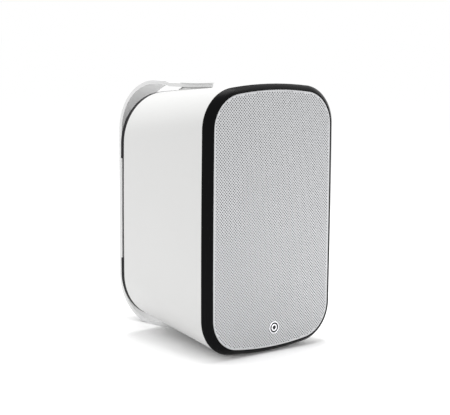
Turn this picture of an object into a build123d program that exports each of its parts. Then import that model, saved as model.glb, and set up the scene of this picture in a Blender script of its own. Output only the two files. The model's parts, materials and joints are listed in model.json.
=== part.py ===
from build123d import *

import os
from math import asin, atan2, cos, degrees, hypot, radians, sin, sqrt

# A two-way weatherproof bookshelf speaker in a tapering moulded cabinet, held top and bottom by a
# C-shaped bracket on which it swivels. Millimetres. +Z is up, the grille faces -Y, and X runs from
# left to right as the listener sees it. The origin is on the floor, midway between the cabinet's
# sides and midway between the badge's face and the back of the bracket.

# cabinet: the front outline, the rear outline and what joins them
front_width = 200.0
front_height = 316.2
front_corner = 47.0
front_rise = 10.1  # how far the top and bottom edges bow outwards
front_bow = 1.0  # how far the sides bow outwards
rear_width = 177.4
rear_height = 287.0
rear_corner = 61.5
rear_rise = 11.5
rear_bow = 1.6
shell_depth = 168.8
shell_wall = 3.5
shell_step = 0.5  # the bezel stands this far proud of the shell all round
fit_gap = 0.3  # between mouldings that drop into one another
ledge_width = 14.0  # flange inside each mouth of the shell
ledge_thickness = 3.5

# bezel and grille
bezel_depth = 9.2
bevel_side = 9.6  # the bevel's width on the left and right
bevel_end = 5.6  # and along the top and bottom
bevel_corner = 41.4  # corner radius of the bevel's front edge
bevel_bulge = 0.7  # how far the bevel is rounded outwards half way along
bezel_rim = 0.6
bezel_flange = 3.0
flange_side = 16.4  # from the bezel's outer side to the flange's inner edge
flange_end = 22.5
flange_corner = 42.0
flange_lug = 5.0  # radius of the flange's lugs round the side screws
grille_gap = 0.3
grille_recess = 0.4
grille_sheet = 1.2
grille_lip = 4.6  # depth of the folded edge
grille_fold = 0.8  # outside radius of the fold
grille_travel = 40.0
cloth_thickness = 0.6
cloth_gap = 0.4
badge_radius = 7.5
badge_thickness = 0.9
badge_edge = 0.3
badge_x = 3.0
badge_drop = 128.8  # below the middle of the front

# baffle
baffle_thickness = 8.0
baffle_gasket_thickness = 1.0
screw_radius = 1.95
screw_clearance = 0.25
thread_gap = 0.05
screw_head_radius = 3.0
screw_head_height = 2.2
screw_recess_radius = 1.3  # the cross recess is simplified to a round one
baffle_screw_length = 24.0
baffle_screw_boss = 5.0
baffle_boss_depth = 13.0
baffle_screw_x = 60.0
baffle_screw_z = 134.0
baffle_side_screw_x = 79.5

# woofer; depths are measured back from the baffle's front face
woofer_z = -36.0  # from the middle of the front
woofer_radius = 82.0
woofer_flange = 3.0
woofer_gasket_thickness = 0.6
woofer_cutout = 73.5
basket_mouth = 72.0
basket_wall = 1.6
basket_foot = 46.0
basket_depth = 45.5
basket_ring = 6.0
basket_ring_bore = 24.0
basket_windows = 6
basket_spoke = 12.0
window_margin = 3.0
spider_ledge_depth = 35.0
spider_ledge_thickness = 1.5
spider_ledge_bore = 45.0
surround_outer = 68.0  # where the half roll starts and ends
surround_inner = 57.2
surround_sheet = 0.8
surround_height = 4.2
surround_land = 4.5  # width of the glued edge
cone_sheet = 0.9
cone_land = 3.7
cone_depth = 27.0
cone_collar = 3.0
dust_cap_radius = 18.0
dust_cap_height = 6.0
dust_cap_sheet = 0.7
coil_radius = 13.0  # outside of the former
coil_former = 0.3
coil_winding = 0.8
coil_winding_length = 9.0
coil_tail = 2.5
coil_gap_inside = 0.4
coil_gap_outside = 0.8
spider_sheet = 0.5
spider_wave = 1.2
spider_waves = 4
spider_collar = 1.5
woofer_travel = 4.0
motor_radius = 44.0
motor_plate = 6.0
magnet_radius = 48.0
magnet_bore = 24.0
magnet_thickness = 16.0
woofer_screws_count = 6
woofer_screw_circle = 77.5
woofer_screw_length = 7.8
terminal_tab_width = 18.0
terminal_tab_reach = 14.0
terminal_strip = 1.6
terminal_blade = (0.8, 5.0, 8.0)
terminal_spacing = 10.0

# tweeter; depths as for the woofer
tweeter_x = 6.0
tweeter_z = 99.5
tweeter_radius = 36.0
tweeter_flange = 3.0
tweeter_body = 29.0
tweeter_body_depth = 5.5
tweeter_mouth = 27.0
tweeter_throat = 17.0
tweeter_throat_depth = 3.5
tweeter_cutout = 29.5
dome_radius = 12.7
dome_height = 4.5
dome_sheet = 0.4
dome_base_depth = 5.3
dome_roll = 3.6
dome_roll_height = 1.6
dome_edge = 5.0
dome_edge_sheet = 0.6
tweeter_coil_length = 4.8
tweeter_coil_sheet = 0.3
tweeter_coil_gap = 0.6
tweeter_pole_gap = 0.5
tweeter_plate = 3.5
tweeter_motor = 28.0
tweeter_magnet_bore = 15.5
tweeter_magnet_thickness = 9.0
tweeter_travel = 0.3
tweeter_screws_count = 3
tweeter_screw_circle = 32.5
tweeter_screw_start = -90.0
tweeter_screw_radius = 1.4
tweeter_screw_head = 2.5
tweeter_screw_length = 7.6

# rear cover and terminals
rear_gasket_thickness = 0.6
rear_cover_thickness = 7.4
rear_cover_skin = 2.0
rear_cover_edge = 2.0  # fillet round the back
rear_band_height = 124.0  # recessed band across the middle
rear_cover_wall = 5.0
rear_screw_inset = 9.5
rear_screw_z = 44.0
rear_screw_diagonal = 50.0  # angle of the corner screws above the horizontal
rear_screw_length = 14.0
rear_boss_radius = 4.6
rear_boss_depth = 13.0
rear_counterbore = 3.4
cup_width = 78.0
cup_height = 58.0
cup_corner = 9.0
cup_wall = 2.0
cup_depth = 21.0
cup_flange = 6.0
cup_flange_thickness = 2.0
cup_gasket_thickness = 0.8
cup_screw_inset = 3.3  # beyond the cup's outer wall
cup_screw_z = 20.0
cup_screw_head = 1.1
post_spacing = 19.05  # one above the other
post_x = 14.0  # clear of the bracket's back
post_radius = 3.9
post_socket = 2.0
post_socket_depth = 15.0
post_length = 17.5
post_tail_radius = 2.0
post_tail = 14.0
post_base_radius = 6.2
post_base = 3.0
cap_radius = 6.6
cap_length = 12.5
cap_gap = 1.0  # room for a bare wire under the cap
cap_bore_gap = 0.05
cap_ribs = 18
cap_rib = 0.5
nut_radius = 3.8
nut_height = 3.0

# crossover
board_width = 130.0
board_height = 96.0
board_thickness = 1.6
board_corner = 4.0
board_standoff = 6.0
board_standoff_radius = 3.5
board_hole_x = 20.0
board_hole_z = 22.0
board_screw_length = 5.0
coil_places = (((-44.0, 25.0), 19.0, 9.0, 18.0), ((44.0, 28.0), 14.0, 6.0, 13.0))
capacitor_places = (((-42.0, -22.0), 8.0, 34.0), ((0.0, -38.0), 6.0, 30.0), ((44.0, -8.0), 6.0, 30.0))
capacitor_edge = 1.0
resistor_place = (44.0, -33.0)
resistor_size = (26.0, 10.0, 9.0)
lead_radius = 1.1
lead_spacing = 5.0
woofer_lead_landing = (26.0, 6.0)
tweeter_lead_landing = (-2.0, 34.0)

# damping wadding, lying on the cabinet's floor
wadding_width = 96.0
wadding_top = -104.0  # from the middle of the front
wadding_front = 55.0  # behind the seam
wadding_length = 68.0
wadding_edge = 9.0

# bracket and pivots
pivot_depth = 137.4  # behind the seam between bezel and shell
bracket_turn = 8.0  # degrees the bracket stands turned to the left, seen from above
bracket_reach = 116.0  # from the pivot to the inside of the bracket's back
bracket_width = 40.0
bracket_thickness = 4.5
upper_bend = 62.0  # inside radii of the bracket's two bends
lower_bend = 54.0
bracket_end = 20.0  # radius of the round ends over the pivots
upper_arm_drop = 2.4  # how far the upper arm lies below the front's top
upper_step = 2.0  # step down from the upper arm to its round end
upper_step_start = 29.0  # where the step starts and ends, from the pivot
upper_step_end = 36.0
bracket_edge = 0.6
wall_hole_radius = 3.25
wall_hole_spacing = 90.0
pivot_radius = 4.0
pivot_gap = 0.08
pivot_clearance = 0.3
washer_radius = 18.5
washer_thickness = 1.2
boss_radius = 19.5
boss_flare = 3.0  # how much wider the boss is where it meets the shell
boss_sink = 5.0
insert_radius = 6.0
insert_length = 11.0
insert_gap = 0.05
insert_boss = 10.5
insert_boss_length = 14.0
knob_radius = 21.5
knob_height = 4.2
knob_rim = 0.6
knob_bolt_head = 6.5
knob_bolt_head_height = 3.0
bolt_head_radius = 7.4
bolt_head_rim = 0.4
bolt_head_sink = 0.4
bolt_key = 2.9
bolt_key_depth = 2.4
bolt_end = 2.0  # from the bolt's end to the insert's

# places worked out from the sizes above
centre_z = front_height / 2
turn = radians(bracket_turn)
rear_extent = (
    bezel_depth
    + pivot_depth
    + (bracket_reach + bracket_thickness) * cos(turn)
    + bracket_width / 2 * sin(turn)
)
badge_proud = badge_thickness - grille_recess
front_y = (badge_proud - rear_extent) / 2
seam = bezel_depth
rear = bezel_depth + shell_depth
pivot_y = front_y + seam + pivot_depth


def at_depth(depth):
    """The upright plane a distance behind the bezel's front edge, seen from the front."""
    return Plane(origin=(0, front_y + depth, centre_z), x_dir=(1, 0, 0), z_dir=(0, -1, 0))


def arched_outline(width, height, corner, rise, bow):
    """A rounded rectangle whose four sides are shallow arcs, tangent to the corner arcs."""
    half_width, half_height = width / 2, height / 2
    top_radius = (half_width**2 + rise**2) / (2 * rise)
    side_radius = (half_height**2 + bow**2) / (2 * bow)
    top_centre = Vector(0, half_height - top_radius)
    side_centre = Vector(half_width - side_radius, 0)
    # The corner's centre lies this far from the two big arcs' centres.
    from_top, from_side = top_radius - corner, side_radius - corner
    between = top_centre - side_centre
    span = between.length
    along = (from_side**2 - from_top**2 + span**2) / (2 * span)
    across = sqrt(from_side**2 - along**2)
    direction = between / span
    sideways = Vector(-direction.Y, direction.X)
    corner_centre = side_centre + direction * along + sideways * across
    side_ray = corner_centre - side_centre
    top_ray = corner_centre - top_centre
    side_angle = degrees(atan2(side_ray.Y, side_ray.X))
    top_angle = degrees(atan2(top_ray.Y, top_ray.X))
    with BuildSketch() as outline:
        with BuildLine():
            CenterArc(side_centre, side_radius, 0, side_angle)
            CenterArc(corner_centre, corner, side_angle, top_angle - side_angle)
            CenterArc(top_centre, top_radius, top_angle, 90 - top_angle)
            mirror(about=Plane.YZ)
            mirror(about=Plane.XZ)
        make_face()
    return outline.sketch


def front_outline(side, end, corner):
    """The bezel's outline drawn in by different amounts at the sides and at top and bottom."""
    return arched_outline(
        front_width - 2 * side, front_height - 2 * end, corner, front_rise, front_bow
    )


def shell_outline(depth, inset):
    """The shell's outer outline at a depth, drawn in all round."""
    share = (depth - seam) / shell_depth

    def between(front, back):
        return front + (back - front) * share

    return arched_outline(
        between(front_width - 2 * shell_step, rear_width) - 2 * inset,
        between(front_height - 2 * shell_step, rear_height) - 2 * inset,
        between(front_corner - shell_step, rear_corner) - inset,
        between(front_rise, rear_rise),
        between(front_bow, rear_bow),
    )


def profile(*corners):
    """A closed straight-sided face."""
    with BuildSketch() as face:
        with BuildLine():
            Polyline(*corners, close=True)
        make_face()
    return face.sketch


def ring(outer, inner):
    """A flat ring."""
    with BuildSketch() as face:
        Circle(outer)
        Circle(inner, mode=Mode.SUBTRACT)
    return face.sketch


def cap_arc(rim_radius, height, rim_depth):
    """Start, middle and end of the arc from a dome's rim forward to its top."""
    sphere = (rim_radius**2 + height**2) / (2 * height)
    angle = asin(rim_radius / sphere)
    centre = rim_depth - height + sphere
    middle = (sphere * sin(angle / 2), centre - sphere * cos(angle / 2))
    return (rim_radius, rim_depth), middle, (0, rim_depth - height)


def export(piece, name):
    """Labels a finished piece and writes its STEP file."""
    piece.part.label = name
    export_step(piece.part, f"parts/{name}.step")


os.makedirs("parts", exist_ok=True)

# bezel, grille, cloth, badge
opening_side = bevel_side + bezel_rim
opening_end = bevel_end + bezel_rim
opening_corner = bevel_corner - bezel_rim
grille_back = grille_recess + grille_lip
seal_back = bezel_depth - bezel_flange
baffle_screws_at = [
    (side * baffle_screw_x, end * baffle_screw_z) for side in (-1, 1) for end in (-1, 1)
] + [(side * baffle_side_screw_x, 0) for side in (-1, 1)]

with BuildPart() as front_bezel:
    with BuildSketch(at_depth(seam)):
        add(front_outline(0, 0, front_corner))
    with BuildSketch(at_depth(seam / 2)):
        add(
            front_outline(
                bevel_side / 2 - bevel_bulge,
                bevel_end / 2 - bevel_bulge,
                (front_corner + bevel_corner) / 2,
            )
        )
    with BuildSketch(at_depth(0)):
        add(front_outline(bevel_side, bevel_end, bevel_corner))
    loft()
    with BuildSketch(at_depth(0)):
        add(front_outline(opening_side, opening_end, opening_corner))
    extrude(amount=-seal_back, mode=Mode.SUBTRACT)
    with BuildSketch(at_depth(seal_back)):
        add(front_outline(flange_side, flange_end, flange_corner))
        with Locations(*baffle_screws_at):
            Circle(flange_lug, mode=Mode.SUBTRACT)
    extrude(amount=-bezel_flange, mode=Mode.SUBTRACT)
    with BuildSketch(at_depth(seal_back)):
        with Locations(*baffle_screws_at):
            Circle(screw_radius + screw_clearance)
    extrude(amount=-bezel_flange, mode=Mode.SUBTRACT)
export(front_bezel, "front_bezel")

grille_side = opening_side + grille_gap
grille_end = opening_end + grille_gap
grille_corner = opening_corner - grille_gap

with BuildPart() as grille:
    with BuildSketch(at_depth(grille_recess)):
        add(front_outline(grille_side, grille_end, grille_corner))
    extrude(amount=-grille_lip)
    fillet(grille.edges().group_by(Axis.Y)[0], grille_fold)
    with BuildSketch(at_depth(grille_recess + grille_sheet)):
        add(
            front_outline(
                grille_side + grille_sheet, grille_end + grille_sheet, grille_corner - grille_sheet
            )
        )
    extrude(amount=-(grille_lip - grille_sheet), mode=Mode.SUBTRACT)
export(grille, "grille")

cloth_inset = grille_sheet + cloth_gap

with BuildPart() as grille_cloth:
    with BuildSketch(at_depth(grille_recess + grille_sheet)):
        add(
            front_outline(
                grille_side + cloth_inset, grille_end + cloth_inset, grille_corner - cloth_inset
            )
        )
    extrude(amount=-cloth_thickness)
export(grille_cloth, "grille_cloth")

with BuildPart() as grille_badge:
    with BuildSketch(at_depth(grille_recess)):
        with Locations((badge_x, -badge_drop)):
            Circle(badge_radius)
    extrude(amount=badge_thickness)
    fillet(grille_badge.edges().group_by(Axis.Y)[0], badge_edge)
export(grille_badge, "grille_badge")

with BuildPart() as grille_seal:
    with BuildSketch(at_depth(grille_back)):
        add(front_outline(opening_side, opening_end, opening_corner))
        add(
            front_outline(
                grille_side + grille_sheet, grille_end + grille_sheet, grille_corner - grille_sheet
            ),
            mode=Mode.SUBTRACT,
        )
    extrude(amount=-(seal_back - grille_back))
export(grille_seal, "grille_seal")

# cabinet shell
front_ledge = seam + baffle_thickness + baffle_gasket_thickness
rear_ledge = rear - ledge_thickness
ledge_inset = shell_wall + ledge_width
wall_middle = shell_wall / 2
pivot_share = pivot_depth / shell_depth
shell_top = (
    front_height / 2 - shell_step
    + (rear_height / 2 - front_height / 2 + shell_step) * pivot_share
)
rear_screw_angle = radians(rear_screw_diagonal)
rear_corner_x = rear_width / 2 - rear_corner + (rear_corner - rear_screw_inset) * cos(rear_screw_angle)
rear_corner_z = (
    rear_height / 2 - rear_rise * (rear_width / 2 - rear_corner) / rear_width - rear_corner
    + (rear_corner - rear_screw_inset) * sin(rear_screw_angle)
)
rear_side_x = rear_width / 2 - rear_screw_inset
rear_screws_at = (
    [(side * rear_corner_x, end * rear_corner_z) for side in (-1, 1) for end in (-1, 1)]
    + [(side * rear_side_x, end * rear_screw_z) for side in (-1, 1) for end in (-1, 1)]
    + [(0, end * (rear_height / 2 - rear_screw_inset)) for end in (-1, 1)]
)

with BuildPart() as shell_envelope:
    with BuildSketch(at_depth(seam)):
        add(shell_outline(seam, 0))
    with BuildSketch(at_depth(rear)):
        add(shell_outline(rear, 0))
    loft(ruled=True)

with BuildPart() as shell_cavity:
    with BuildSketch(at_depth(seam)):
        add(shell_outline(seam, shell_wall))
    with BuildSketch(at_depth(rear)):
        add(shell_outline(rear, shell_wall))
    loft(ruled=True)

with BuildPart() as cabinet_shell:
    add(shell_envelope.part)
    add(shell_cavity.part, mode=Mode.SUBTRACT)
    with BuildSketch(at_depth(front_ledge)):
        add(shell_outline(front_ledge + ledge_thickness, wall_middle))
        add(shell_outline(front_ledge, ledge_inset), mode=Mode.SUBTRACT)
    extrude(amount=-ledge_thickness)
    with BuildSketch(at_depth(front_ledge)):
        with Locations(*baffle_screws_at):
            Circle(baffle_screw_boss)
    extrude(amount=-baffle_boss_depth)
    with BuildSketch(at_depth(rear)):
        add(shell_outline(rear, wall_middle))
        add(shell_outline(rear, ledge_inset), mode=Mode.SUBTRACT)
    extrude(amount=ledge_thickness)
    with BuildSketch(at_depth(rear)):
        with Locations(*rear_screws_at):
            Circle(rear_boss_radius)
    extrude(amount=rear_boss_depth)
    for end in (-1, 1):
        with BuildSketch(Plane.XY.offset(centre_z + end * (shell_top - wall_middle))):
            with Locations((0, pivot_y)):
                Circle(insert_boss)
        extrude(amount=-end * (insert_boss_length - wall_middle))
        with BuildSketch(Plane.XY.offset(centre_z + end * (shell_top + boss_sink))):
            with Locations((0, pivot_y)):
                Circle(pivot_radius + pivot_clearance)
        extrude(amount=-end * (boss_sink + insert_boss_length), mode=Mode.SUBTRACT)
        with BuildSketch(Plane.XY.offset(centre_z + end * (shell_top - insert_boss_length))):
            with Locations((0, pivot_y)):
                Circle(insert_radius)
        extrude(amount=end * insert_length, mode=Mode.SUBTRACT)
    with BuildSketch(at_depth(front_ledge)):
        with Locations(*baffle_screws_at):
            Circle(screw_radius + thread_gap)
    extrude(amount=-baffle_boss_depth, mode=Mode.SUBTRACT)
    with BuildSketch(at_depth(rear)):
        with Locations(*rear_screws_at):
            Circle(screw_radius + thread_gap)
    extrude(amount=rear_boss_depth, mode=Mode.SUBTRACT)
export(cabinet_shell, "cabinet_shell")

# baffle, its gasket and screws
baffle_back = seam + baffle_thickness

with BuildPart() as front_baffle:
    with BuildSketch(at_depth(seam)):
        add(shell_outline(baffle_back, shell_wall + fit_gap))
    extrude(amount=-baffle_thickness)
    with BuildSketch(at_depth(seam)):
        with Locations((0, woofer_z)):
            Circle(woofer_radius + fit_gap)
    extrude(amount=-(woofer_flange + woofer_gasket_thickness), mode=Mode.SUBTRACT)
    with BuildSketch(at_depth(seam)):
        with Locations((tweeter_x, tweeter_z)):
            Circle(tweeter_radius + fit_gap)
    extrude(amount=-tweeter_flange, mode=Mode.SUBTRACT)
    with BuildSketch(at_depth(seam)):
        with Locations((0, woofer_z)):
            Circle(woofer_cutout)
        with Locations((tweeter_x, tweeter_z)):
            Circle(tweeter_cutout)
        with Locations(*baffle_screws_at):
            Circle(screw_radius + screw_clearance)
        with Locations((0, woofer_z)):
            with PolarLocations(woofer_screw_circle, woofer_screws_count):
                Circle(screw_radius + thread_gap)
        with Locations((tweeter_x, tweeter_z)):
            with PolarLocations(tweeter_screw_circle, tweeter_screws_count, tweeter_screw_start):
                Circle(tweeter_screw_radius + thread_gap)
    extrude(amount=-baffle_thickness, mode=Mode.SUBTRACT)
export(front_baffle, "front_baffle")

with BuildPart() as baffle_gasket:
    with BuildSketch(at_depth(baffle_back)):
        add(shell_outline(front_ledge, shell_wall + fit_gap))
        add(shell_outline(baffle_back, ledge_inset), mode=Mode.SUBTRACT)
        with Locations(*baffle_screws_at):
            Circle(baffle_screw_boss)
        with Locations(*baffle_screws_at):
            Circle(screw_radius + screw_clearance, mode=Mode.SUBTRACT)
    extrude(amount=-baffle_gasket_thickness)
export(baffle_gasket, "baffle_gasket")


def screw(shaft, length, head, head_height):
    """A pan-head screw standing on Z=0 with its shaft downwards."""
    with BuildPart(mode=Mode.PRIVATE) as made:
        with BuildSketch():
            Circle(head)
        extrude(amount=head_height)
        fillet(made.edges().group_by(Axis.Z)[-1], head_height / 2)
        with BuildSketch():
            Circle(shaft)
        extrude(amount=-length)
        with BuildSketch(Plane.XY.offset(head_height)):
            Circle(screw_recess_radius)
        extrude(amount=-head_height / 2, mode=Mode.SUBTRACT)
    return made.part


def screws_on(plane, places, one):
    """The same screw at several places on a plane, its head outwards."""
    with BuildPart() as group:
        with Locations(plane):
            with Locations(*[(x, z, 0) for x, z in places]):
                add(one)
    return group


panel_screw = screw(screw_radius, baffle_screw_length, screw_head_radius, screw_head_height)
baffle_screws = screws_on(at_depth(seal_back), baffle_screws_at, panel_screw)
export(baffle_screws, "baffle_screws")

# woofer
woofer_plane = Plane(origin=(0, front_y + seam, centre_z + woofer_z), x_dir=(1, 0, 0), z_dir=(0, 0, 1))
woofer_axis = Axis((0, front_y + seam, centre_z + woofer_z), (0, 1, 0))
ring_back = basket_depth + basket_ring
plate_back = ring_back + motor_plate
magnet_back = plate_back + magnet_thickness
pole_radius = coil_radius - coil_former - coil_gap_inside
gap_radius = coil_radius + coil_winding + coil_gap_outside
basket_slope = (basket_mouth - basket_foot) / (basket_depth - woofer_flange)


def at_woofer(depth):
    """The upright plane a distance behind the baffle's face, centred on the woofer."""
    return Plane(
        origin=(0, front_y + seam + depth, centre_z + woofer_z), x_dir=(1, 0, 0), z_dir=(0, -1, 0)
    )


def basket_radius(depth):
    """Outside radius of the basket's sloping wall at a depth."""
    return basket_mouth - (depth - woofer_flange) * basket_slope


with BuildPart() as woofer_frame:
    with BuildSketch(woofer_plane):
        add(
            profile(
                (surround_outer, 0),
                (woofer_radius, 0),
                (woofer_radius, woofer_flange),
                (basket_mouth, woofer_flange),
                (basket_foot, basket_depth),
                (basket_foot - basket_wall, basket_depth),
                (basket_mouth - basket_wall, woofer_flange),
                (surround_outer, woofer_flange),
            )
        )
    revolve(axis=woofer_axis)
    with BuildSketch(at_woofer(woofer_flange + window_margin)):
        Circle(basket_mouth)
        Circle(basket_foot, mode=Mode.SUBTRACT)
        with PolarLocations(0, basket_windows // 2):
            Rectangle(2 * woofer_radius, basket_spoke, mode=Mode.SUBTRACT)
    extrude(amount=-(basket_depth - woofer_flange - 2 * window_margin), mode=Mode.SUBTRACT)
    with BuildSketch(at_woofer(spider_ledge_depth)):
        ledge_back = spider_ledge_depth + spider_ledge_thickness
        add(ring(basket_radius(ledge_back) - basket_wall / 2, spider_ledge_bore))
    extrude(amount=-spider_ledge_thickness)
    with BuildSketch(at_woofer(basket_depth)):
        add(ring(basket_foot, basket_ring_bore))
    extrude(amount=-basket_ring)
    with BuildSketch(at_woofer(ring_back)):
        with Locations((motor_radius + terminal_tab_reach / 2, 0)):
            Rectangle(terminal_tab_reach, terminal_tab_width)
    extrude(amount=terminal_strip)
    with BuildSketch(at_woofer(0)):
        with PolarLocations(woofer_screw_circle, woofer_screws_count):
            Circle(screw_radius + screw_clearance)
    extrude(amount=-woofer_flange, mode=Mode.SUBTRACT)
export(woofer_frame, "woofer_frame")

with BuildPart() as woofer_gasket:
    with BuildSketch(at_woofer(woofer_flange)):
        add(ring(woofer_radius, woofer_cutout))
        with PolarLocations(woofer_screw_circle, woofer_screws_count):
            Circle(screw_radius + screw_clearance, mode=Mode.SUBTRACT)
    extrude(amount=-woofer_gasket_thickness)
export(woofer_gasket, "woofer_gasket")

woofer_screws_at = [
    (
        woofer_screw_circle * cos(radians(360 / woofer_screws_count * k)),
        woofer_screw_circle * sin(radians(360 / woofer_screws_count * k)),
    )
    for k in range(woofer_screws_count)
]
driver_screw = screw(screw_radius, woofer_screw_length, screw_head_radius, screw_head_height)
woofer_screws = screws_on(at_woofer(0), woofer_screws_at, driver_screw)
export(woofer_screws, "woofer_screws")

roll_middle = (surround_outer + surround_inner) / 2

with BuildPart() as woofer_surround:
    with BuildSketch(woofer_plane):
        with BuildLine():
            Polyline(
                (surround_inner - surround_land, 0),
                (surround_inner - surround_land, -surround_sheet),
                (surround_inner, -surround_sheet),
            )
            ThreePointArc(
                (surround_inner, -surround_sheet),
                (roll_middle, -surround_sheet - surround_height),
                (surround_outer, -surround_sheet),
            )
            Polyline(
                (surround_outer, -surround_sheet),
                (surround_outer + surround_land, -surround_sheet),
                (surround_outer + surround_land, 0),
                (surround_outer, 0),
            )
            ThreePointArc(
                (surround_outer, 0),
                (roll_middle, -surround_height),
                (surround_inner, 0),
            )
            Line((surround_inner, 0), (surround_inner - surround_land, 0))
        make_face()
    revolve(axis=woofer_axis)
export(woofer_surround, "woofer_surround")

cone_rim = surround_inner - cone_land
neck_radius = coil_radius + cone_sheet
cone_slope = (cone_depth - cone_sheet) / (cone_rim - neck_radius)

with BuildPart() as woofer_cone:
    with BuildSketch(woofer_plane):
        add(
            profile(
                (surround_inner, 0),
                (surround_inner, cone_sheet),
                (cone_rim, cone_sheet),
                (neck_radius, cone_depth),
                (neck_radius, cone_depth + cone_collar),
                (coil_radius, cone_depth + cone_collar),
                (coil_radius, cone_depth - cone_sheet),
                (neck_radius, cone_depth - cone_sheet),
                (cone_rim, 0),
            )
        )
    revolve(axis=woofer_axis)
export(woofer_cone, "woofer_cone")

cap_rim_depth = cone_slope * (cone_rim - dust_cap_radius)
cap_start, cap_middle, cap_top = cap_arc(dust_cap_radius, dust_cap_height, cap_rim_depth)
cap_inner = cap_arc(dust_cap_radius - dust_cap_sheet, dust_cap_height, cap_rim_depth + dust_cap_sheet)

with BuildPart() as woofer_dust_cap:
    with BuildSketch(woofer_plane):
        with BuildLine():
            ThreePointArc(cap_start, cap_middle, cap_top)
            Line(cap_top, cap_inner[2])
            ThreePointArc(*cap_inner)
            Line(cap_inner[0], cap_start)
        make_face()
    revolve(axis=woofer_axis)
    add(woofer_cone.part, mode=Mode.SUBTRACT)
export(woofer_dust_cap, "woofer_dust_cap")

winding_start = ring_back + motor_plate / 2 - coil_winding_length / 2
winding_end = winding_start + coil_winding_length

with BuildPart() as woofer_voice_coil:
    with BuildSketch(woofer_plane):
        add(
            profile(
                (coil_radius - coil_former, cone_depth - cone_sheet),
                (coil_radius, cone_depth - cone_sheet),
                (coil_radius, winding_start),
                (coil_radius + coil_winding, winding_start),
                (coil_radius + coil_winding, winding_end),
                (coil_radius, winding_end),
                (coil_radius, winding_end + coil_tail),
                (coil_radius - coil_former, winding_end + coil_tail),
            )
        )
    revolve(axis=woofer_axis)
export(woofer_voice_coil, "woofer_voice_coil")

# The spider is a corrugated disc: its rings rise and fall between the collar and the glued edge.
spider_outer = basket_radius(spider_ledge_depth) - basket_wall - fit_gap
spider_start = coil_radius + spider_collar
spider_pitch = (spider_ledge_bore - spider_start) / (2 * spider_waves + 1)
spider_crests = [
    (spider_start + spider_pitch * (k + 1), spider_wave * (-1) ** k) for k in range(2 * spider_waves)
]
spider_back = (
    [(coil_radius + thread_gap, spider_ledge_depth), (spider_start, spider_ledge_depth)]
    + [(radius, spider_ledge_depth + wave) for radius, wave in spider_crests]
    + [(spider_ledge_bore, spider_ledge_depth), (spider_outer, spider_ledge_depth)]
)

with BuildPart() as woofer_spider:
    with BuildSketch(woofer_plane):
        add(
            profile(
                *spider_back,
                *[(radius, depth - spider_sheet) for radius, depth in reversed(spider_back)],
            )
        )
    revolve(axis=woofer_axis)
export(woofer_spider, "woofer_spider")

with BuildPart() as woofer_top_plate:
    with BuildSketch(at_woofer(ring_back)):
        add(ring(motor_radius, gap_radius))
    extrude(amount=-motor_plate)
export(woofer_top_plate, "woofer_top_plate")

with BuildPart() as woofer_magnet:
    with BuildSketch(at_woofer(plate_back)):
        add(ring(magnet_radius, magnet_bore))
    extrude(amount=-magnet_thickness)
export(woofer_magnet, "woofer_magnet")

with BuildPart() as woofer_back_plate:
    with BuildSketch(at_woofer(magnet_back)):
        Circle(motor_radius)
    extrude(amount=-motor_plate)
    with BuildSketch(at_woofer(magnet_back)):
        Circle(pole_radius)
    extrude(amount=magnet_back - ring_back)
export(woofer_back_plate, "woofer_back_plate")

blade_thickness, blade_width, blade_length = terminal_blade

with BuildPart() as woofer_terminals:
    with BuildSketch(at_woofer(ring_back)):
        with Locations((magnet_radius + (terminal_tab_reach + motor_radius - magnet_radius) / 2, 0)):
            Rectangle(terminal_tab_reach + motor_radius - magnet_radius - 2 * fit_gap, terminal_tab_width)
    extrude(amount=-terminal_strip)
    with BuildSketch(at_woofer(ring_back + terminal_strip)):
        with Locations((magnet_radius + (terminal_tab_reach + motor_radius - magnet_radius) / 2, 0)):
            with GridLocations(0, terminal_spacing, 1, 2):
                Rectangle(blade_width, blade_thickness)
    extrude(amount=-blade_length)
export(woofer_terminals, "woofer_terminals")

# tweeter
tweeter_plane = Plane(
    origin=(tweeter_x, front_y + seam, centre_z + tweeter_z), x_dir=(1, 0, 0), z_dir=(0, 0, 1)
)
tweeter_axis = Axis((tweeter_x, front_y + seam, centre_z + tweeter_z), (0, 1, 0))
dome_plate_front = tweeter_body_depth + dome_edge_sheet
dome_plate_back = dome_plate_front + tweeter_plate
tweeter_magnet_back = dome_plate_back + tweeter_magnet_thickness
dome_coil_radius = dome_radius + tweeter_coil_sheet


def at_tweeter(depth):
    """The upright plane a distance behind the baffle's face, centred on the tweeter."""
    return Plane(
        origin=(tweeter_x, front_y + seam + depth, centre_z + tweeter_z), x_dir=(1, 0, 0), z_dir=(0, -1, 0)
    )


horn_middle = (
    (tweeter_throat + tweeter_mouth) / 2 - 0.1 * (tweeter_mouth - tweeter_throat),
    0.4 * tweeter_throat_depth,
)

with BuildPart() as tweeter_faceplate:
    with BuildSketch(tweeter_plane):
        with BuildLine():
            ThreePointArc((tweeter_throat, tweeter_throat_depth), horn_middle, (tweeter_mouth, 0))
            Polyline(
                (tweeter_mouth, 0),
                (tweeter_radius, 0),
                (tweeter_radius, tweeter_flange),
                (tweeter_body, tweeter_flange),
                (tweeter_body, tweeter_body_depth),
                (tweeter_throat, tweeter_body_depth),
                (tweeter_throat, tweeter_throat_depth),
            )
        make_face()
    revolve(axis=tweeter_axis)
    with BuildSketch(at_tweeter(0)):
        with PolarLocations(tweeter_screw_circle, tweeter_screws_count, tweeter_screw_start):
            Circle(tweeter_screw_radius + thread_gap)
    extrude(amount=-tweeter_body_depth, mode=Mode.SUBTRACT)
export(tweeter_faceplate, "tweeter_faceplate")

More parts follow.
